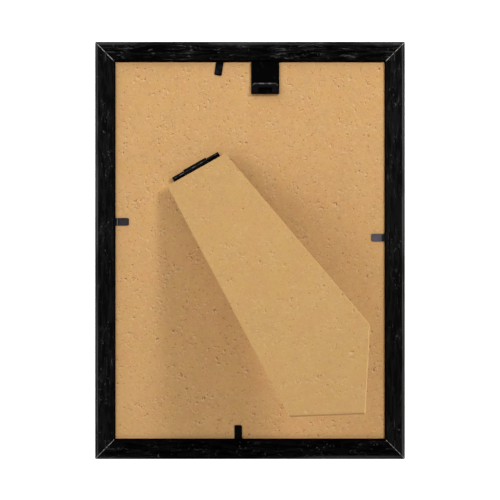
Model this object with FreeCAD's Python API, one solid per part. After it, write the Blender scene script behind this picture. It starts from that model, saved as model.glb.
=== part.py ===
import FreeCAD, Part
import math
import os

from FreeCAD import Vector

# Easel back photo frame, lying face down with its strut swung open against the stop.
# Millimetres and degrees. X runs across the frame, Y up it and Z out of its back.
# The origin is the middle of the front face, which is the face that the frame lies on.

# Moulding
frame_width = 147.0
frame_height = 198.0
frame_depth = 12.5
rail_back_width = 9.1       # from the outer face to the rabbet wall
lip_width = 4.9             # how far the lip reaches over the glass
lip_thickness = 5.5
front_band = 8.6            # flat band that the frame lies on
front_fall = 0.8            # drop of the front from that band to the sight edge
back_round = 1.4
front_round = 1.0
sight_round = 0.9
rabbet_round = 0.3
corner_round = 0.6
mitre_chamfer = 0.25        # of each rail's ends, on its back face

# Glass, picture and backboard in the rabbet
pocket_clearance = 0.4
glass_thickness = 2.0
insert_thickness = 0.3
board_thickness = 2.5
board_edge_round = 0.35

# Steel wedges that hold the mitres
wedge_inset = 4.8           # from both outer faces to the knee of the wedge
wedge_arm = 4.4
wedge_sheet = 0.4
wedge_depth = 7.0
wedge_sink = 0.05

# Strut hinge
hinge_x = -25.65
hinge_y = 39.7
hinge_angle = 29.3          # of its pin to the frame's width
open_angle = 28.0           # from shut to the stop
hinge_length = 25.0
hinge_sheet = 0.5
pin_diameter = 1.1
pin_end_round = 0.3
pin_clearance = 0.02        # in the knuckles that hold the pin
swivel_clearance = 0.05     # in the knuckle that turns on it
knuckle_lift = 0.05         # of the turning knuckle off the board
middle_knuckle = 12.2
knuckle_gap = 0.2
stop_reach = 0.5            # of the stop toe past its knuckle
leaf_reach = 12.5           # from the pin to the end of each leaf
leaf_corner = 1.5
leaf_clearance = 0.7        # round the knuckles of the other leaf
tooth_width = 2.2
tooth_length = 1.7
tooth_spread = 15.0         # between the two rows of teeth
tooth_pitch = 4.4           # from one row of teeth to the next
tooth_start = 4.6           # from the pin to the first teeth

# Strut
leg_thickness = 2.4
leg_edge_round = 0.45
leg_setback = 3.55          # from the pin to the strut's top edge
leg_left = 16.3             # from the middle of the hinge to the strut's left edge
leg_right = 15.2
leg_left_slope = 0.4        # how far each edge leans outwards
leg_right_slope = 8.8
foot_side_margin = 6.1      # between the shut foot and the rabbet's side wall
foot_side_slope = 1.8
foot_base_margin = 3.7
foot_base_slope = 0.7
leg_corner = 1.8
foot_corner = 0.8

# Bendable tabs
tab_width = 3.6
tab_sheet = 0.4
tab_reach = 6.9             # from the rabbet wall to the tip
tab_drive = 5.0             # depth of its shank in the rail
tab_height = 0.75           # of its shank above the board
tab_stand = 0.75            # from the wall to its bend
tab_crease = 1.35           # from the wall to where it meets the board
tab_play = 0.05
tab_tip_round = 0.7
tab_top_x = -14.2
tab_top_tilt = -9.0
tab_bottom_x = -5.6
tab_left_y = 13.6
tab_right_y = 6.1

# Wall hanger
hanger_x = 7.2
hanger_width = 13.4
hanger_reach = 15.8
hanger_drive = 4.0
hanger_sheet = 0.7
hanger_lift = 0.3
flap_gap = 0.8              # between the strip and the flap that is folded back over it
flap_length = 5.4           # from the fold to the flap's free end
flap_inset = 0.6            # of the flap's sides from the strip's
flap_corner = 1.3
flap_round = 0.5
nail_slot_width = 6.4
nail_slot_height = 2.6
nail_slot_margin = 0.5      # from the fold to the slot

overrun = 1.0

# Worked out from the sizes above
rail_width = rail_back_width + lip_width
rabbet_half_width = frame_width / 2 - rail_back_width
rabbet_half_height = frame_height / 2 - rail_back_width
insert_face = lip_thickness + glass_thickness
board_back = insert_face + insert_thickness
board_face = board_back + board_thickness
fixed_radius = pin_diameter / 2 + pin_clearance + hinge_sheet
swivel_radius = pin_diameter / 2 + swivel_clearance + hinge_sheet
pin_height = swivel_radius + knuckle_lift
hinge_place = Vector(hinge_x, hinge_y, board_face + pin_height)


# Outlines

def corner_points(before, corner, after, radius):
    """Start, middle and end of the arc that rounds a corner, or the corner alone."""
    if radius == 0:
        return [corner]
    to_before = (before - corner).normalize()
    to_after = (after - corner).normalize()
    half_angle = to_before.getAngle(to_after) / 2
    bisector = (to_before + to_after).normalize()
    tangent = radius / math.tan(half_angle)
    centre = corner + bisector * (radius / math.sin(half_angle))
    return [corner + to_before * tangent, centre - bisector * radius, corner + to_after * tangent]


def outline(corners):
    """Flat face from (x, y, radius) corners, each rounded by an arc of its radius."""
    points = [Vector(x, y, 0) for x, y, radius in corners]
    rounds = []
    for index, (x, y, radius) in enumerate(corners):
        after = points[(index + 1) % len(points)]
        rounds.append(corner_points(points[index - 1], points[index], after, radius))
    edges = []
    for index, here in enumerate(rounds):
        if len(here) > 1:
            edges.append(Part.Arc(here[0], here[1], here[2]).toShape())
        following = rounds[(index + 1) % len(rounds)][0]
        if here[-1].distanceToPoint(following) > 0:
            edges.append(Part.LineSegment(here[-1], following).toShape())
    return Part.Face(Part.Wire(edges))


def plate(corners, bottom, top):
    """Solid between two heights over an outline in X and Y."""
    face = outline(corners)
    face.translate(Vector(0, 0, bottom))
    return face.extrude(Vector(0, 0, top - bottom))


def bar(corners, length, middle=0.0):
    """Solid along X whose section is an outline in Y and Z."""
    solid = outline(corners).extrude(Vector(0, 0, length))
    solid.translate(Vector(0, 0, middle - length / 2))
    solid.rotate(Vector(0, 0, 0), Vector(1, 1, 1), 120)
    return solid


def box(x_span, y_span, z_span):
    """Box between the low and high values of each span."""
    size = [high - low for low, high in (x_span, y_span, z_span)]
    return Part.makeBox(*size, Vector(x_span[0], y_span[0], z_span[0]))


def rod(radius, length, middle=0.0):
    """Round rod along X."""
    return Part.makeCylinder(radius, length, Vector(middle - length / 2, 0, 0), Vector(1, 0, 0))


def rims(solid, lowest):
    """Edges round a plate's flat faces, of those faces that lie above a height."""
    half = solid.BoundBox.ZLength / 2
    flat = [edge for edge in solid.Edges if edge.BoundBox.ZLength < half]
    return [edge for edge in flat if edge.BoundBox.ZMin > lowest]


def rectangle(x_span, y_span, radius=0.0):
    """Corners of a rectangle, anticlockwise, all with one radius."""
    (left, right), (low, high) = x_span, y_span
    return [(left, low, radius), (right, low, radius), (right, high, radius), (left, high, radius)]


def join(solids):
    """One solid from several that touch or overlap."""
    return solids[0].multiFuse(solids[1:]).removeSplitter()


def placed(solid, turn, place):
    """Copy of a solid turned about Z and moved to its place."""
    copy = solid.copy()
    copy.rotate(Vector(0, 0, 0), Vector(0, 0, 1), turn)
    copy.translate(place)
    return copy


# Moulding

def moulding(length):
    """Moulding of one rail, with its outer face on Y = 0 and its inside towards +Y."""
    section = [
        (0, 0, front_round),
        (front_band, 0, 0),
        (rail_width, front_fall, sight_round),
        (rail_width, lip_thickness, 0),
        (rail_back_width, lip_thickness, 0),
        (rail_back_width, frame_depth, rabbet_round),
        (0, frame_depth, back_round),
    ]
    return bar(section, length)


def mitred_rail(length):
    """Moulding cut to a mitre at both ends, whose back edges there have a small chamfer."""
    half = length / 2
    inner_half = half - rail_width
    plan = [(-half, 0, 0), (half, 0, 0), (inner_half, rail_width, 0), (-inner_half, rail_width, 0)]
    rail = moulding(length).common(plate(plan, 0, frame_depth))
    small = mitre_chamfer
    groove = bar([(-small, 0, 0), (0, -small, 0), (small, 0, 0), (0, small, 0)], 2 * rail_width)
    middle = Vector(half - rail_width / 2, rail_width / 2, frame_depth)
    grooves = [placed(groove, 135, middle), placed(groove, 45, Vector(-middle.x, middle.y, middle.z))]
    return rail.cut(grooves)


def frame_block():
    """Block with the frame's rounded outer corners, which trims the rails' tips."""
    half_width = frame_width / 2
    half_height = frame_height / 2
    plan = rectangle((-half_width, half_width), (-half_height, half_height), corner_round)
    return plate(plan, 0, frame_depth)


def corner_wedge(top):
    """Angle of steel strip, measured from the outer corner of the frame."""
    near = wedge_inset
    inside = wedge_inset + wedge_sheet
    end = wedge_inset + wedge_arm
    plan = [(near, near, 0), (end, near, 0), (end, inside, 0), (inside, inside, 0),
            (inside, end, 0), (near, end, 0)]
    return plate(plan, frame_depth - wedge_sink - wedge_depth, top)


def rails_and_wedges(drivings):
    """The four rails, cut for their wedges and for what is driven into them, and the wedges."""
    half_width = frame_width / 2
    half_height = frame_height / 2
    corners = {
        "bottom_left": (0, Vector(-half_width, -half_height, 0)),
        "bottom_right": (90, Vector(half_width, -half_height, 0)),
        "top_right": (180, Vector(half_width, half_height, 0)),
        "top_left": (270, Vector(-half_width, half_height, 0)),
    }
    pieces = {}
    wedge_slots = []
    for name, (turn, place) in corners.items():
        pieces["corner_wedge_" + name] = placed(corner_wedge(frame_depth - wedge_sink), turn, place)
        wedge_slots.append(placed(corner_wedge(frame_depth + overrun), turn, place))
    sides = {
        "bottom": (0, frame_width, Vector(0, -half_height, 0)),
        "right": (90, frame_height, Vector(half_width, 0, 0)),
        "top": (180, frame_width, Vector(0, half_height, 0)),
        "left": (270, frame_height, Vector(-half_width, 0, 0)),
    }
    for name, (turn, length, place) in sides.items():
        rail = placed(mitred_rail(length), turn, place).common(frame_block())
        pieces["rail_" + name] = rail.cut(wedge_slots + drivings[name])
    return pieces


# Glass, picture and backboard

def backboard():
    """Fibreboard that closes the rabbet, with its back edges eased."""
    board = pocket_sheet(board_back, board_thickness)
    return board.makeFillet(board_edge_round, rims(board, board_back))


def pocket_sheet(bottom, thickness):
    """Sheet that drops into the rabbet."""
    half_width = rabbet_half_width - pocket_clearance
    half_height = rabbet_half_height - pocket_clearance
    plan = rectangle((-half_width, half_width), (-half_height, half_height))
    return plate(plan, bottom, bottom + thickness)


# Strut hinge, drawn shut round its pin: X along the pin, -Y down the strut and Z out of the back

def pin():
    """Hinge pin with domed ends."""
    plain = rod(pin_diameter / 2, hinge_length)
    ends = [edge for edge in plain.Edges if edge.BoundBox.XLength < pin_diameter]
    return plain.makeFillet(pin_end_round, ends)


def ring(outer_radius, bore_radius, length, middle):
    """Rolled knuckle on the pin."""
    return rod(outer_radius, length, middle).cut(rod(bore_radius, length + overrun, middle))


def tooth(x, y, root, tip):
    """Pointed tooth across the leaf, standing from height root to height tip."""
    half = tooth_width / 2
    blade = plate([(x - half, root, 0), (x + half, root, 0), (x, tip, 0)], 0, hinge_sheet)
    blade.rotate(Vector(0, 0, 0), Vector(1, 0, 0), 90)
    blade.translate(Vector(0, y, 0))
    return blade


def tooth_window(x, y, bottom):
    """Opening that the tooth was pressed out of, beside its root."""
    half = tooth_width / 2
    root = y - hinge_sheet
    corners = [(x - half, root, 0), (x, root - tooth_length, 0), (x + half, root, 0)]
    return plate(corners, bottom - overrun, bottom + hinge_sheet + overrun)


def tooth_places():
    """Places of the four teeth of a leaf."""
    rows = (-tooth_start, -tooth_start - tooth_pitch)
    return [(x, y) for x in (-tooth_spread / 2, tooth_spread / 2) for y in rows]


def leaf_sheet(bottom, root_y):
    """Flat of a leaf, from root_y to the leaf's end."""
    half = hinge_length / 2
    corners = [(-half, root_y, 0), (-half, -leaf_reach, leaf_corner),
               (half, -leaf_reach, leaf_corner), (half, root_y, 0)]
    flat = plate(corners, bottom, bottom + hinge_sheet)
    return flat.cut([tooth_window(x, y, bottom) for x, y in tooth_places()])


def leaf_teeth(root, tip):
    """The four teeth of a leaf."""
    return [tooth(x, y, root, tip) for x, y in tooth_places()]


def board_leaf():
    """Leaf on the backboard: two end knuckles that grip the pin, and teeth into the board."""
    bottom = -pin_height
    inner_end = middle_knuckle / 2 + knuckle_gap
    knuckle_length = hinge_length / 2 - inner_end
    clear = swivel_radius + leaf_clearance
    bore_radius = pin_diameter / 2 + pin_clearance
    flat = leaf_sheet(bottom, 0)
    flat = flat.cut(box((-inner_end, inner_end), (-clear, overrun), (bottom - overrun, 0)))
    knuckles = []
    for side in (-1, 1):
        middle = side * (inner_end + knuckle_length / 2)
        knuckles.append(ring(fixed_radius, bore_radius, knuckle_length, middle))
    teeth = leaf_teeth(bottom + hinge_sheet / 2, bottom - tooth_length)
    leaf = join([flat] + knuckles + teeth)
    return leaf.cut(rod(bore_radius, hinge_length + overrun))


def stop_toe():
    """Toe of the turning knuckle, which lies flat on the board when the strut is open."""
    low = -swivel_radius
    tip = swivel_radius + stop_reach
    half_sheet = hinge_sheet / 2
    section = [(0, low, 0), (tip, low, half_sheet / 2), (tip, low + hinge_sheet, half_sheet / 2),
               (0, low + hinge_sheet, 0)]
    toe = bar(section, middle_knuckle)
    toe.rotate(Vector(0, 0, 0), Vector(1, 0, 0), open_angle)
    return toe


def leg_leaf():
    """Leaf under the strut: a middle knuckle with the stop toe, and teeth into the strut."""
    top = swivel_radius
    bottom = top - hinge_sheet
    clear = fixed_radius + leaf_clearance
    bore_radius = pin_diameter / 2 + swivel_clearance
    neck_half = middle_knuckle / 2
    neck = box((-neck_half, neck_half), (-clear - overrun, 0), (bottom, top))
    knuckle = ring(swivel_radius, bore_radius, middle_knuckle, 0)
    teeth = leaf_teeth(top - hinge_sheet / 2, top + tooth_length)
    leaf = join([leaf_sheet(bottom, -clear), neck, knuckle, stop_toe()] + teeth)
    return leaf.cut(rod(bore_radius, hinge_length + overrun))


# Strut

def meeting(line, other):
    """Point where two lines meet, each given by a point and a direction."""
    (point, along), (other_point, other_along) = line, other
    gap = other_point - point
    cross = along.x * other_along.y - along.y * other_along.x
    share = (gap.x * other_along.y - gap.y * other_along.x) / cross
    return point + along * share


def direction(angle):
    """Unit vector at an angle from X."""
    return Vector(math.cos(math.radians(angle)), math.sin(math.radians(angle)), 0)


def strut():
    """Strut board. Shut, its foot lies along the frame's bottom and right rails."""
    to_hinge = FreeCAD.Rotation(Vector(0, 0, 1), -hinge_angle)
    side_x = rabbet_half_width - foot_side_margin
    base_y = -rabbet_half_height + foot_base_margin
    foot_side = (to_hinge.multVec(Vector(side_x - hinge_x, base_y - hinge_y, 0)),
                 direction(90 - foot_side_slope - hinge_angle))
    foot_base = (foot_side[0], direction(foot_base_slope - hinge_angle))
    left_edge = (Vector(-leg_left, -leg_setback, 0), direction(-90 - leg_left_slope))
    right_edge = (Vector(leg_right, -leg_setback, 0), direction(-90 + leg_right_slope))
    toe_left = meeting(left_edge, foot_base)
    toe_right = foot_side[0]
    elbow = meeting(right_edge, foot_side)
    corners = [
        (-leg_left, -leg_setback, foot_corner),
        (toe_left.x, toe_left.y, foot_corner),
        (toe_right.x, toe_right.y, foot_corner),
        (elbow.x, elbow.y, leg_corner),
        (leg_right, -leg_setback, foot_corner),
    ]
    board = plate(corners, swivel_radius, swivel_radius + leg_thickness)
    board = board.makeFillet(leg_edge_round, rims(board, 0))
    return board.cut(leaf_teeth(swivel_radius - hinge_sheet / 2, swivel_radius + tooth_length))


def on_hinge(solid, opening):
    """Solid drawn round the pin, opened by an angle and put in its place on the frame."""
    opened = solid.copy()
    opened.rotate(Vector(0, 0, 0), Vector(1, 0, 0), -opening)
    return placed(opened, hinge_angle, hinge_place)


# Bendable tabs, drawn at a rabbet wall: X along the wall, Y away from it, Z up from the board

def tab_shank():
    """Pointed shank that is driven into the rail."""
    half = tab_width / 2
    out = tab_stand - tab_sheet / 2 - tab_play
    plan = [(-half, out, 0), (-half, half - tab_drive, 0), (0, -tab_drive, 0),
            (half, half - tab_drive, 0), (half, out, 0)]
    return plate(plan, tab_height - tab_sheet / 2, tab_height + tab_sheet / 2)


def tab_blade():
    """Blade that bends about its round nose and presses on the board."""
    half_sheet = tab_sheet / 2
    run = tab_crease - tab_stand
    fall = tab_height - half_sheet
    slope = math.atan2(fall, run)
    across = Vector(math.sin(slope), math.cos(slope), 0) * half_sheet
    crease_shift = half_sheet * math.tan(slope / 2)
    section = [
        (tab_stand + across.x, tab_height + across.y, 0),
        (tab_stand - across.x, tab_height - across.y, 0),
        (tab_crease - crease_shift, 0, half_sheet),
        (tab_reach, 0, 0),
        (tab_reach, tab_sheet, 0),
        (tab_crease + crease_shift, tab_sheet, half_sheet),
    ]
    half = tab_width / 2
    tip = [(-half, 0, 0), (half, 0, 0), (half, tab_reach, tab_tip_round),
           (-half, tab_reach, tab_tip_round)]
    strip = bar(section, tab_width).common(plate(tip, 0, tab_height + tab_sheet))
    nose = rod(half_sheet, tab_width)
    nose.translate(Vector(0, tab_stand, tab_height))
    return join([strip, nose])


def tab_places():
    """Turn about Z and place on the rabbet wall of each tab."""
    return {
        "bottom": (0, Vector(tab_bottom_x, -rabbet_half_height, board_face)),
        "right": (90, Vector(rabbet_half_width, tab_right_y, board_face)),
        "top": (180 + tab_top_tilt, Vector(tab_top_x, rabbet_half_height, board_face)),
        "left": (270, Vector(-rabbet_half_width, tab_left_y, board_face)),
    }


# Wall hanger, drawn at the top rail's rabbet wall as the tabs are

def hanger_flap(start, end, bottom):
    """Flap of the hanger, rounded along its free end and its sides."""
    half = hanger_width / 2 - flap_inset
    past = end + overrun
    corners = [(-half, start, flap_corner), (half, start, flap_corner), (half, past, 0), (-half, past, 0)]
    flap = plate(corners, bottom, bottom + hanger_sheet)
    flap = flap.makeFillet(flap_round, rims(flap, bottom))
    return flap.common(box((-half, half), (start, end), (bottom, bottom + hanger_sheet)))


def hanger():
    """Steel strip driven into the rail and folded back at its end, with a nail slot in the flap."""
    half = hanger_width / 2
    low = hanger_lift
    flap_low = low + hanger_sheet + flap_gap
    top = flap_low + hanger_sheet
    fold_radius = (top - low) / 2
    fold_start = hanger_reach - fold_radius
    strip = plate(rectangle((-half, half), (-hanger_drive, fold_start)), low, low + hanger_sheet)
    fold = ring(fold_radius, fold_radius - hanger_sheet, hanger_width, 0)
    fold.translate(Vector(0, fold_start, low + fold_radius))
    fold = fold.common(box((-half, half), (fold_start, hanger_reach), (low, top)))
    flap = hanger_flap(hanger_reach - flap_length, fold_start, flap_low)
    slot_half = nail_slot_width / 2
    slot_end = hanger_reach - nail_slot_margin
    slot = box((-slot_half, slot_half), (slot_end - nail_slot_height, slot_end),
               (low + fold_radius, top + overrun))
    return join([strip, fold, flap]).cut(slot)


# The whole frame

def main():
    pieces = {}
    drivings = {}
    for side, (turn, place) in tab_places().items():
        pieces["tab_" + side + "_shank"] = placed(tab_shank(), turn, place)
        pieces["tab_" + side + "_blade"] = placed(tab_blade(), turn, place)
        drivings[side] = [pieces["tab_" + side + "_shank"]]
    pieces["hanger_plate"] = placed(hanger(), 180, Vector(hanger_x, rabbet_half_height, board_face))
    drivings["top"].append(pieces["hanger_plate"])
    pieces.update(rails_and_wedges(drivings))

    pieces["hinge_board_leaf"] = on_hinge(board_leaf(), 0)
    pieces["hinge_pin"] = on_hinge(pin(), 0)
    pieces["hinge_leg_leaf"] = on_hinge(leg_leaf(), open_angle)
    pieces["strut_leg"] = on_hinge(strut(), open_angle)

    pieces["glazing"] = pocket_sheet(lip_thickness, glass_thickness)
    pieces["picture_insert"] = pocket_sheet(insert_face, insert_thickness)
    pieces["backboard"] = backboard().cut(pieces["hinge_board_leaf"])

    os.makedirs("parts", exist_ok=True)
    for name, shape in pieces.items():
        solid = shape.Solids[0] if len(shape.Solids) == 1 else shape
        solid.exportStep(os.path.join("parts", name + ".step"))
        print(name, "solids", len(shape.Solids), "valid", shape.isValid(), "volume",
              round(shape.Volume, 2))


main()
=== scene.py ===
import math

import bmesh
import bpy
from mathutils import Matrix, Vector


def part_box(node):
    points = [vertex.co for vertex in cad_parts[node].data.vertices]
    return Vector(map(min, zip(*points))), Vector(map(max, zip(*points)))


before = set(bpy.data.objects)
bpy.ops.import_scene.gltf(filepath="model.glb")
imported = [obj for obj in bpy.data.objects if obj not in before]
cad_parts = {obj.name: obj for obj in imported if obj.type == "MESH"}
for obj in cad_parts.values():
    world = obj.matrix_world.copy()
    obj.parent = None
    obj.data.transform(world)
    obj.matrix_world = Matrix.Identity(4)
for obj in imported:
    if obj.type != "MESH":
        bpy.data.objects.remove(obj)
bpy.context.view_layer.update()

MM = 0.001

# Sizes read from the frame, in metres
frame_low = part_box("rail_left")[0]
frame_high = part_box("rail_right")[1]
half_width = frame_high.x
half_height = frame_high.y
back = frame_high.z
board_low, board_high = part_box("backboard")
board_face = board_high.z
rail_back_width = half_width - board_high.x
hanger_low, hanger_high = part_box("hanger_plate")
pin_low, pin_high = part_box("hinge_pin")
pin_middle = (pin_low + pin_high) / 2

# What the boxes don't tell
flap_length = 5.4                       # of the hanger's folded flap, in millimetres
hinge_angle = 29.3                      # of the pin to the frame's width, in degrees
strut_face = (-0.23, 0.409, 0.883)      # way that the strut's outer face looks at rest
floor_gap = 0.1 * MM                    # between the front face and the floor

# The photograph's view: straight down on the back, in pixels of the photograph
photo_pixels = 500
frame_pixels = 309.8                    # across the outline, where the rails' back edges start to round
frame_middle_down = 0.4
camera_right, camera_down = 3.8, 8.0    # of the camera from the frame's middle, with its lens shifted back
camera_up = 1500                        # of the camera above the outline
outline_depth = 1.4 * MM                # of the outline below the back
pixel = 2 * half_width / frame_pixels
sensor_width = 36.0


# Shader expressions

class Link:
    """One output of a shader node, which can be used in sums."""

    def __init__(self, graph, socket):
        self.graph = graph
        self.socket = socket

    def maths(self, operation, *values):
        return self.graph.node("ShaderNodeMath", {"operation": operation}, dict(enumerate(values)))

    def __add__(self, other):
        return self.maths("ADD", self, other)

    def __radd__(self, other):
        return self.maths("ADD", other, self)

    def __sub__(self, other):
        return self.maths("SUBTRACT", self, other)

    def __rsub__(self, other):
        return self.maths("SUBTRACT", other, self)

    def __mul__(self, other):
        return self.maths("MULTIPLY", self, other)

    def __rmul__(self, other):
        return self.maths("MULTIPLY", other, self)

    def __abs__(self):
        return self.maths("ABSOLUTE", self)

    def lesser(self, other):
        return self.maths("MINIMUM", self, other)

    def greater(self, other):
        return self.maths("MAXIMUM", self, other)

    def ramp(self, low, high):
        """0 at low and 1 at high, smooth between them and flat outside."""
        settings = {"interpolation_type": "SMOOTHSTEP"}
        return self.graph.node("ShaderNodeMapRange", settings, {0: self, 1: low, 2: high, 3: 0.0, 4: 1.0})


class Graph:
    """Node tree of a material or of the world."""

    def __init__(self, owner):
        owner.use_nodes = True
        self.nodes = owner.node_tree.nodes
        self.links = owner.node_tree.links

    def node(self, kind, settings, sockets, output=0):
        made = self.nodes.new(kind)
        for name, value in settings.items():
            setattr(made, name, value)
        for name, value in sockets.items():
            self.feed(made.inputs[name], value)
        return Link(self, made.outputs[output])

    def feed(self, socket, value):
        if isinstance(value, Link):
            self.links.new(value.socket, socket)
        elif socket.type == "RGBA" and len(value) == 3:
            socket.default_value = (*value, 1.0)
        else:
            socket.default_value = value


class Finish(Graph):
    """A material with one surface shader, whose points are in millimetres of the object."""

    def __init__(self, name, **constants):
        self.material = bpy.data.materials.new(name)
        super().__init__(self.material)
        self.surface = self.nodes["Principled BSDF"]
        self.set(**constants)
        place = self.node("ShaderNodeTexCoord", {}, {}, "Object")
        self.points = self.node("ShaderNodeVectorMath", {"operation": "SCALE"}, {0: place, "Scale": 1 / MM})

    def set(self, **values):
        """Sets inputs of the surface shader, with _ for a space in their names."""
        for name, value in values.items():
            self.feed(self.surface.inputs[name.replace("_", " ")], value)

    def blend(self, share, first, second):
        """Colour between first, at share 0, and second, at share 1."""
        return self.node("ShaderNodeMix", {"data_type": "RGBA"}, {0: share, 6: first, 7: second}, 2)

    def noise(self, size, stretch=(1, 1, 1), seed=0.0, detail=2.0, warp=0.0, shift=(0, 0)):
        """Noise from 0 to 1 whose features are about size millimetres, times the stretch.

        The shift moves the same pattern sideways, in millimetres.
        """
        scale = tuple(1 / (size * along) for along in stretch)
        start = (seed + shift[0] / size, seed + shift[1] / size, seed)
        place = self.node("ShaderNodeMapping", {}, {"Vector": self.points, "Location": start, "Scale": scale})
        sockets = {"Vector": place, "Scale": 1.0, "Detail": detail, "Distortion": warp}
        return self.node("ShaderNodeTexNoise", {}, sockets)

    def axis(self, name):
        """One coordinate of the point, in millimetres."""
        return self.node("ShaderNodeSeparateXYZ", {}, {0: self.points}, name)

    def emboss(self, height, depth):
        """Turns a height from 0 to 1 into bumps of a depth in millimetres."""
        bump = self.node("ShaderNodeBump", {}, {"Height": height, "Distance": depth * MM})
        self.set(Normal=bump)


# Finishes

def tinted(tone, red, green, blue):
    """A tone with each of its three parts made lighter or darker."""
    return (tone[0] * red, tone[1] * green, tone[2] * blue)


def squiggles(finish, size, width, seed, cover):
    """Short curled strands: contour lines of a noise, cut into pieces by a second one."""
    field = finish.noise(size, seed=seed, detail=1.0, warp=0.8)
    line = 1 - abs(field - 0.5).ramp(0.0, width)
    patch = finish.noise(size * 0.9, seed=seed + 31.7, detail=1.0).ramp(cover, cover + 0.04)
    return line * patch


def fibreboard(name, tone, marks, seed, face=None, top=None):
    """Raw pressed fibreboard: a mottled ground with curled fibres, brown specks and a painted highlight
    beside each speck.

    Marks is how strongly those stand out. With the way that its face looks, the other sides get a painted
    highlight, and painted shade where they face down the frame. With the place of its top edge, in
    millimetres, it gets a painted highlight along that edge and along its bottom, which lifts the shade
    beside the walls.
    """
    finish = Finish(name, Specular_IOR_Level=0.2)

    mottle = finish.noise(15.0, seed=seed, detail=2.0)
    patch = finish.noise(3.2, seed=seed + 5.1, detail=2.0)
    grain = finish.noise(1.0, seed=seed + 9.3, detail=2.0)
    shade = 1 + (mottle - 0.5) * 0.14 + (patch - 0.5) * 0.14 + (grain - 0.5) * 0.12
    ground = finish.node("ShaderNodeVectorMath", {"operation": "SCALE"}, {0: tone, "Scale": shade})
    rosy = finish.noise(9.0, seed=seed + 12.0, detail=1.0).ramp(0.45, 0.65)
    ground = finish.blend(rosy * 0.45, ground, tinted(tone, 1.03, 0.93, 0.93))
    straw = finish.noise(6.0, seed=seed + 19.0, detail=2.0).ramp(0.48, 0.62)
    ground = finish.blend(straw * 0.45, ground, tinted(tone, 1.0, 1.01, 0.84))

    # Each dark speck has a painted highlight beside it, always on the same side as on the lit side of a
    # raised fibre, and both crowd in places
    crowd = 0.25 + 0.75 * finish.noise(11.0, seed=seed + 31.0, detail=1.0).ramp(0.42, 0.56)
    speck = finish.noise(1.4, seed=seed + 3.0, detail=2.0, warp=1.0).ramp(0.655, 0.705) * crowd
    beside = finish.noise(1.4, seed=seed + 3.0, detail=2.0, warp=1.0, shift=(0.45, 0.75))
    painted_speck_highlight = beside.ramp(0.60, 0.67) * crowd
    dot = finish.noise(0.9, seed=seed + 51.0, detail=1.0).ramp(0.71, 0.76)
    fleck = finish.noise(1.1, seed=seed + 43.0, detail=1.0, warp=1.2).ramp(0.64, 0.72)
    pale_fibre = squiggles(finish, 1.7, 0.034, seed + 2.0, 0.55)
    dark_fibre = squiggles(finish, 2.0, 0.030, seed + 7.0, 0.56)
    # Pale fibres and flecks, with the painted highlights beside the specks
    pale = (painted_speck_highlight + pale_fibre * 0.6 + fleck * 0.55).lesser(1.0)
    dark = (speck.greater(dot) + dark_fibre * 0.4).lesser(1.0)
    ground = finish.blend(pale * marks, ground, tinted(tone, 1.13, 1.28, 1.62))
    ground = finish.blend(dark * marks, ground, tinted(tone, 0.55, 0.42, 0.31))

    # Painted highlight along the top and bottom edges, which lifts the shade beside the walls
    if top:
        painted_rim_highlight = 1 - (top - abs(finish.axis("Y"))).ramp(0.2, 1.1)
        ground = finish.blend(painted_rim_highlight, ground, tinted(tone, 1.4, 1.4, 1.4))
    if face:
        normal = finish.node("ShaderNodeTexCoord", {}, {}, "Normal")
        sockets = {0: normal, 1: face}
        facing = finish.node("ShaderNodeVectorMath", {"operation": "DOT_PRODUCT"}, sockets, "Value")
        side = 1 - abs(facing).ramp(0.5, 0.995)
        # Painted highlight on the cut sides, and painted shade on those that face down the frame
        down = (0 - finish.node("ShaderNodeSeparateXYZ", {}, {0: normal}, "Y")).ramp(0.5, 0.8)
        cut = finish.blend(down, tinted(tone, 1.35, 1.35, 1.35), tinted(tone, 0.72, 0.62, 0.50))
        ground = finish.blend(side, ground, cut)

    finish.set(Base_Color=ground, Roughness=0.8 + 0.14 * grain)
    finish.emboss(0.3 * grain + 0.4 * painted_speck_highlight - 0.6 * speck, 0.08 * marks)
    return finish.material


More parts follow.
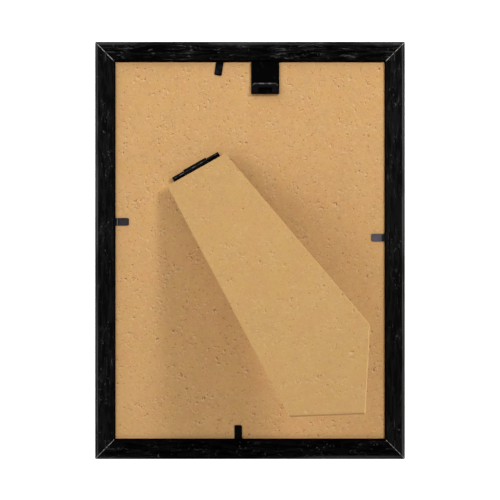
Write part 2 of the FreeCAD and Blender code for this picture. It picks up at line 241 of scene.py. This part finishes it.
def black_moulding(name, along, wear_share, rim_highlight_share, gloss):
    """Black stain on wood grained along X or Y, worn on its back and bare in the line of each mitre.

    Wear_share is of the worn streaks in its grain, and the share after it is of the painted highlight line
    along its outer edge.
    """
    finish = Finish(name, Specular_IOR_Level=gloss)
    grained = (6, 1, 1) if along == "X" else (1, 6, 1)
    long_grained = (16, 1, 1) if along == "X" else (1, 16, 1)
    across = half_width / MM - abs(finish.axis("X"))
    up = half_height / MM - abs(finish.axis("Y"))
    outer = across.lesser(up)
    at_back = finish.axis("Z").ramp(back / MM - 1.6, back / MM - 0.4)
    inside = outer.ramp(rail_back_width / MM - 1.4, rail_back_width / MM - 0.6)

    grain = finish.noise(1.6, grained, seed=3.0, detail=3.0, warp=0.5)
    groove = 1 - finish.noise(1.8, grained, seed=17.0, detail=3.0, warp=0.9).ramp(0.45, 0.51)

    rub = finish.noise(0.7, long_grained, seed=41.0, detail=2.0, warp=0.3).ramp(0.56, 0.66)
    streak = finish.noise(0.95, grained, seed=88.0, detail=3.0, warp=1.4).ramp(0.58, 0.66)
    nick = finish.noise(1.5, seed=77.0, detail=1.0, warp=1.0).ramp(0.68, 0.73)
    patch = 0.12 + 0.88 * finish.noise(12.0, seed=23.0, detail=2.0).ramp(0.44, 0.58)
    broken_edge = finish.noise(3.0, long_grained, seed=61.0, detail=1.0).ramp(0.40, 0.60)
    edge = (1 - outer.ramp(0.9, 2.0)) * broken_edge
    streaks = (rub * 0.2 + streak * (1 - groove)) * patch * wear_share
    wear = (streaks + nick * patch * 1.1 + edge * 0.6).lesser(1.0)

    # Painted highlight line where the outer edge starts to round
    broken_rim = 0.35 + 0.65 * finish.noise(1.4, long_grained, seed=71.0, detail=2.0).ramp(0.38, 0.58)
    painted_rim_highlight = (1 - abs(outer - 1.1).ramp(0.10, 0.50)) * broken_rim * rim_highlight_share
    bead = 0.25 + 0.75 * finish.noise(1.3, seed=11.0, detail=1.0).ramp(0.38, 0.56)
    mitre = (1 - abs(across - up).ramp(0.10, 0.28)) * at_back * bead

    colour = finish.blend(grain, (0.0003, 0.0003, 0.0003), (0.0040, 0.0035, 0.0037))
    colour = finish.blend(groove * 0.9, colour, (0.0001, 0.0001, 0.0001))
    colour = finish.blend(wear * at_back, colour, (0.052, 0.050, 0.050))
    # Painted shade along the inner edge, beside the recess
    colour = finish.blend(inside * 0.85, colour, (0.0004, 0.0003, 0.0003))
    colour = finish.blend(painted_rim_highlight * at_back, colour, (0.075, 0.074, 0.074))
    colour = finish.blend(mitre, colour, (0.50, 0.49, 0.48))
    finish.set(Base_Color=colour, Roughness=(0.55 + 0.25 * grain + 0.2 * groove).lesser(0.95))
    finish.emboss(grain * 0.5 - groove * 0.9 - mitre * 0.6, 0.08)
    return finish.material


def black_lacquer(name, gloss):
    """Black lacquer on sheet steel, a little orange-peeled, and its finish for further marks."""
    finish = Finish(name, Specular_IOR_Level=gloss)
    peel = finish.noise(0.9, seed=5.0, detail=2.0)
    rub = finish.noise(2.2, seed=9.0, detail=2.0).ramp(0.60, 0.72)
    colour = finish.blend(rub * 0.5, (0.0006, 0.0006, 0.0006), (0.008, 0.008, 0.008))
    finish.set(Roughness=0.45 + 0.3 * peel)
    finish.emboss(peel, 0.02)
    return finish, colour


def hanger_lacquer(name):
    """Black lacquer, with a grey line along the free edge of the hanger's flap and round its corners that is
    both worn steel and a painted highlight, and a painted sheen on the flap's face below it.
    """
    finish, colour = black_lacquer(name, 0.02)
    middle = (hanger_low.x + hanger_high.x) / 2 / MM
    edge = hanger_low.y / MM + flap_length - 0.5
    top = finish.axis("Z").ramp(hanger_high.z / MM - 0.55, hanger_high.z / MM - 0.3)
    past = (abs(finish.axis("X") - middle) - 4.6).greater(0.0)
    from_edge = finish.axis("Y") + past * past * 0.45 - edge
    broken = 0.35 + 0.65 * finish.noise(2.4, seed=15.0, detail=1.0).ramp(0.42, 0.6)
    # Grey line along the flap's edge: worn steel and a painted highlight
    worn = (1 - abs(from_edge).ramp(0.08, 0.42)) * top * broken
    # Painted sheen on the flap's face below its edge
    below = (1 - from_edge.ramp(-0.8, -0.3)) * top
    colour = finish.blend(below * 0.6, colour, (0.007, 0.006, 0.008))
    finish.set(Base_Color=finish.blend(worn, colour, (0.15, 0.15, 0.15)))
    return finish.material


def hinge_lacquer(name):
    """Black lacquer, with a painted highlight line along the knuckles."""
    finish, colour = black_lacquer(name, 0.04)
    turn = math.radians(hinge_angle)
    x = finish.axis("X") - pin_middle.x / MM
    y = finish.axis("Y") - pin_middle.y / MM
    across = y * math.cos(turn) - x * math.sin(turn)
    along = y * math.sin(turn) + x * math.cos(turn)
    broken = 0.2 + 0.8 * finish.noise(2.2, seed=35.0, detail=1.0).ramp(0.45, 0.6)
    # Painted highlight along the top of the knuckles
    line = (1 - abs(across - 0.25 - along * 0.02).ramp(0.10, 0.34)) * broken
    finish.set(Base_Color=finish.blend(line, colour, (0.085, 0.085, 0.085)))
    return finish.material


def tab_steel_painted_light(name, wear, gloss, bend_highlight_share):
    """Dark steel strip, lighter grey towards its tip by a mottled painted reflection, in painted shade next
    to the rabbet wall, with a share of a painted highlight at its bend.
    """
    finish = Finish(name, Specular_IOR_Level=gloss)
    brush = finish.noise(0.7, seed=2.0, detail=3.0)
    patch = finish.noise(2.2, seed=8.0, detail=2.0)
    wall_x = (half_width - rail_back_width) / MM
    wall_y = (half_height - rail_back_width) / MM
    from_wall = (wall_x - abs(finish.axis("X"))).lesser(wall_y - abs(finish.axis("Y")))
    # Painted reflection, mottled and set by wear, and painted shade within about two millimetres of the wall
    rub = ((0.4 * patch + 0.15 * brush + wear) * from_wall.ramp(1.0, 2.1)).greater(0.0).lesser(1.0)
    colour = finish.blend(rub, (0.002, 0.002, 0.0022), (0.116, 0.102, 0.124))
    if bend_highlight_share:
        # Painted highlight at the bend
        painted_bend_highlight = (1 - abs(from_wall - 1.0).ramp(0.05, 0.35)) * bend_highlight_share
        colour = finish.blend(painted_bend_highlight, colour, (0.30, 0.29, 0.30))
    finish.set(Base_Color=colour, Metallic=rub * 0.3, Roughness=0.5 + 0.2 * brush)
    finish.emboss(brush, 0.01)
    return finish.material


def bare_steel(name, tone):
    """Drawn steel with fine streaks and a touch of tarnish."""
    finish = Finish(name, Metallic=1.0)
    streak = finish.noise(0.25, seed=4.0, detail=3.0)
    tarnish = finish.noise(1.2, seed=14.0, detail=3.0).ramp(0.45, 0.7)
    bright = (tone, tone * 0.98, tone * 0.96)
    dull = (tone * 0.35, tone * 0.31, tone * 0.27)
    finish.set(Base_Color=finish.blend(tarnish, bright, dull), Roughness=0.28 + 0.3 * streak)
    finish.emboss(streak, 0.01)
    return finish.material


def clear_glass(name):
    """Sheet glass with a faint green body and a few dust specks, that lets light through to the sheet."""
    finish = Finish(name, Transmission_Weight=1.0, IOR=1.5, Alpha=0.2)
    dust = finish.noise(1.4, seed=6.0, detail=4.0).ramp(0.68, 0.8)
    colour = finish.blend(dust, (0.965, 0.985, 0.975), (0.93, 0.94, 0.93))
    finish.set(Base_Color=colour, Roughness=0.02 + 0.12 * dust)
    return finish.material


def plain_paper(name):
    """Uncoated white paper with a soft cloudy formation."""
    finish = Finish(name, Specular_IOR_Level=0.3)
    cloud = finish.noise(3.0, seed=1.0, detail=4.0)
    tooth = finish.noise(0.25, seed=21.0, detail=2.0)
    colour = finish.blend(cloud, (0.80, 0.79, 0.765), (0.86, 0.855, 0.84))
    finish.set(Base_Color=colour, Roughness=0.75 + 0.2 * tooth)
    finish.emboss(tooth, 0.015)
    return finish.material


def studio_floor(name):
    """White studio sweep, lit from within so that shadows on it stay faint."""
    finish = Finish(name, Emission_Color=(1.0, 1.0, 1.0), Emission_Strength=0.95, Roughness=0.9)
    cloud = finish.noise(120.0, seed=1.0, detail=2.0)
    finish.set(Base_Color=finish.blend(cloud, (0.86, 0.86, 0.86), (0.9, 0.9, 0.9)))
    return finish.material


def dress(material, *nodes):
    """Gives CAD nodes a finish, and leaves their shapes alone."""
    for name in nodes:
        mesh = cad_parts[name].data
        mesh.materials.clear()
        mesh.materials.append(material)


def dress_rails():
    dress(black_moulding("moulding_top", "X", wear_share=1.3, rim_highlight_share=0.10, gloss=0.03), "rail_top")
    dress(black_moulding("moulding_bottom", "X", wear_share=0.4, rim_highlight_share=0.03, gloss=0.02), "rail_bottom")
    dress(black_moulding("moulding_left", "Y", wear_share=0.45, rim_highlight_share=0.9, gloss=0.08), "rail_left")
    dress(black_moulding("moulding_right", "Y", wear_share=0.6, rim_highlight_share=1.0, gloss=0.095), "rail_right")
    wedges = [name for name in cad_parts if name.startswith("corner_wedge")]
    dress(bare_steel("wedge_steel", 0.05), *wedges)


def dress_boards():
    tone = (0.648, 0.377, 0.154)
    dress(fibreboard("backing_board", tone, 1.0, 0.0, top=board_high.y / MM), "backboard")
    tone = (0.536, 0.322, 0.125)
    dress(fibreboard("strut_board", tone, 0.7, 60.0, face=strut_face), "strut_leg")
    dress(clear_glass("clear_glass"), "glazing")
    dress(plain_paper("plain_paper"), "picture_insert")


def dress_hardware():
    dress(hinge_lacquer("hinge_lacquer"), "hinge_board_leaf", "hinge_leg_leaf", "hinge_pin")
    dress(hanger_lacquer("hanger_lacquer"), "hanger_plate")
    tabs = {     # painted reflection, gloss and share of the painted bend highlight
        "top": (-0.25, 0.03, 0.0),
        "bottom": (-0.35, 0.03, 0.0),
        "left": (-0.03, 0.12, 0.45),
        "right": (0.6, 0.3, 0.0),
    }
    for side, look in tabs.items():
        steel = tab_steel_painted_light("tab_steel_" + side, *look)
        dress(steel, "tab_" + side + "_shank", "tab_" + side + "_blade")


# Studio

def lamp(name, towards, distance, width, height, radiance):
    """Oblong soft light that faces the board's middle from a direction, with its sizes in metres."""
    light = bpy.data.lights.new(name, "AREA")
    light.shape = "RECTANGLE"
    light.size = width
    light.size_y = height
    light.energy = radiance * math.pi * width * height
    holder = bpy.data.objects.new(name, light)
    way = Vector(towards).normalized()
    holder.location = way * distance + Vector((0, 0, board_face))
    holder.rotation_euler = way.to_track_quat("Z", "Y").to_euler()
    bpy.context.scene.collection.objects.link(holder)


def sky():
    """Faint white surround, brightest at the floor's level and below."""
    world = bpy.data.worlds.new("studio")
    bpy.context.scene.world = world
    graph = Graph(world)
    way = graph.node("ShaderNodeTexCoord", {}, {}, "Generated")
    height = graph.node("ShaderNodeSeparateXYZ", {}, {0: way}, "Z").greater(0.0)
    below = 1 - height
    strength = 0.05 + below * below * 0.30
    graph.feed(graph.nodes["Background"].inputs["Strength"], strength)


def floor():
    """Wide pale floor, a little below the frame's front face."""
    mesh = bpy.data.meshes.new("studio_floor")
    shape = bmesh.new()
    bmesh.ops.create_grid(shape, x_segments=1, y_segments=1, size=3.0)
    bmesh.ops.translate(shape, verts=shape.verts, vec=(0, 0, frame_low.z - floor_gap))
    shape.to_mesh(mesh)
    shape.free()
    mesh.materials.append(studio_floor("studio_white"))
    piece = bpy.data.objects.new("studio_floor", mesh)
    bpy.context.scene.collection.objects.link(piece)


def lamps():
    """The key, a fill, and squares round the sky that even out the light on the board."""
    lamp("key_upper_right", (0.52, 0.50, 0.69), distance=0.492, width=0.133, height=0.073, radiance=34.9)
    lamp("fill_left", (-0.52, 0.20, 0.83), distance=0.405, width=0.313, height=0.213, radiance=1.6)
    soft_squares = {
        "low_top": ((0.0, 0.97, 0.25), 2.07),
        "low_top_left": ((-0.68, 0.68, 0.25), 4.69),
        "middle_top": ((-0.33, 0.80, 0.50), 2.25),
        "middle_left": ((-0.80, 0.33, 0.50), 0.844),
        "middle_bottom": ((0.33, -0.80, 0.50), 4.06),
        "high_top": ((0.0, 0.66, 0.75), 0.966),
        "high_left": ((-0.66, 0.0, 0.75), 1.83),
        "high_bottom": ((0.0, -0.66, 0.75), 3.26),
    }
    for name, (towards, radiance) in soft_squares.items():
        lamp(name, towards, distance=0.5, width=0.2, height=0.2, radiance=radiance)


def photo_camera():
    """Camera straight above the back, whose lens shift brings the frame to the photograph's place."""
    lens = bpy.data.cameras.new("photo_camera")
    lens.sensor_width = sensor_width
    lens.lens = sensor_width * camera_up / photo_pixels
    lens.shift_x = -camera_right / photo_pixels
    lens.shift_y = (camera_down + frame_middle_down) / photo_pixels
    camera = bpy.data.objects.new("photo_camera", lens)
    away = Vector((camera_right, -camera_down, camera_up)) * pixel
    camera.location = away + Vector((0, 0, back - outline_depth))
    bpy.context.scene.collection.objects.link(camera)
    bpy.context.scene.camera = camera


dress_rails()
dress_boards()
dress_hardware()
lamps()
sky()
floor()
photo_camera()
bpy.context.scene.view_settings.view_transform = "Standard"
